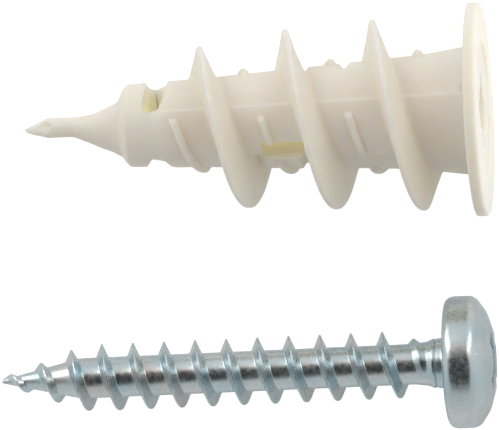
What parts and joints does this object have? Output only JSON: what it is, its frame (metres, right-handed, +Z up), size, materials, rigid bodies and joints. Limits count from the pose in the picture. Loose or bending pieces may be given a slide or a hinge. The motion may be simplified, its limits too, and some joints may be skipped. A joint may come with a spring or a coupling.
{
  "type": "wall anchor",
  "caption": "Self-drilling nylon wall anchor with a tapered barrel, deep right-hand thread and flange, with the pan-head screw that goes into it.",
  "frame": {"origin": "centre of the flange's back face, in the plane of the wall's surface", "axes": "+X along the anchor's axis out of the wall, so the drill point is at -X; +Z up; the screw lies beside the anchor at -Y, parallel to it, head towards +X"},
  "size_m": [0.0336, 0.0283, 0.0142],
  "materials": {
    "nylon": "off-white moulded nylon, satin, slightly translucent",
    "zinc": "bright zinc plate with a faint blue passivation"
  },
  "bodies": {
    "anchor": {"anchor_barrel": "nylon", "anchor_flange": "nylon", "anchor_deep_thread": "nylon", "anchor_fine_thread": "nylon", "neck_webs": "nylon"},
    "tip": {"drill_tip": "nylon"},
    "screw": {"screw_shank": "zinc", "screw_thread": "zinc", "screw_head": "zinc"}
  },
  "joints": [
    {"name": "neck_bend", "type": "hinge", "parent": "anchor", "child": "tip", "pos_m": [-0.02107, 0, 0], "axis": [0, -0.342, 0.9397], "range_deg": [-20, 20], "stiffness_Nm_per_rad": 0.05},
    {"name": "screw_offer", "type": "slide", "parent": "anchor", "child": "screw", "axis": [0.9703, 0.239, 0.0382], "range_m": [0, 0.07008]}
  ]
}
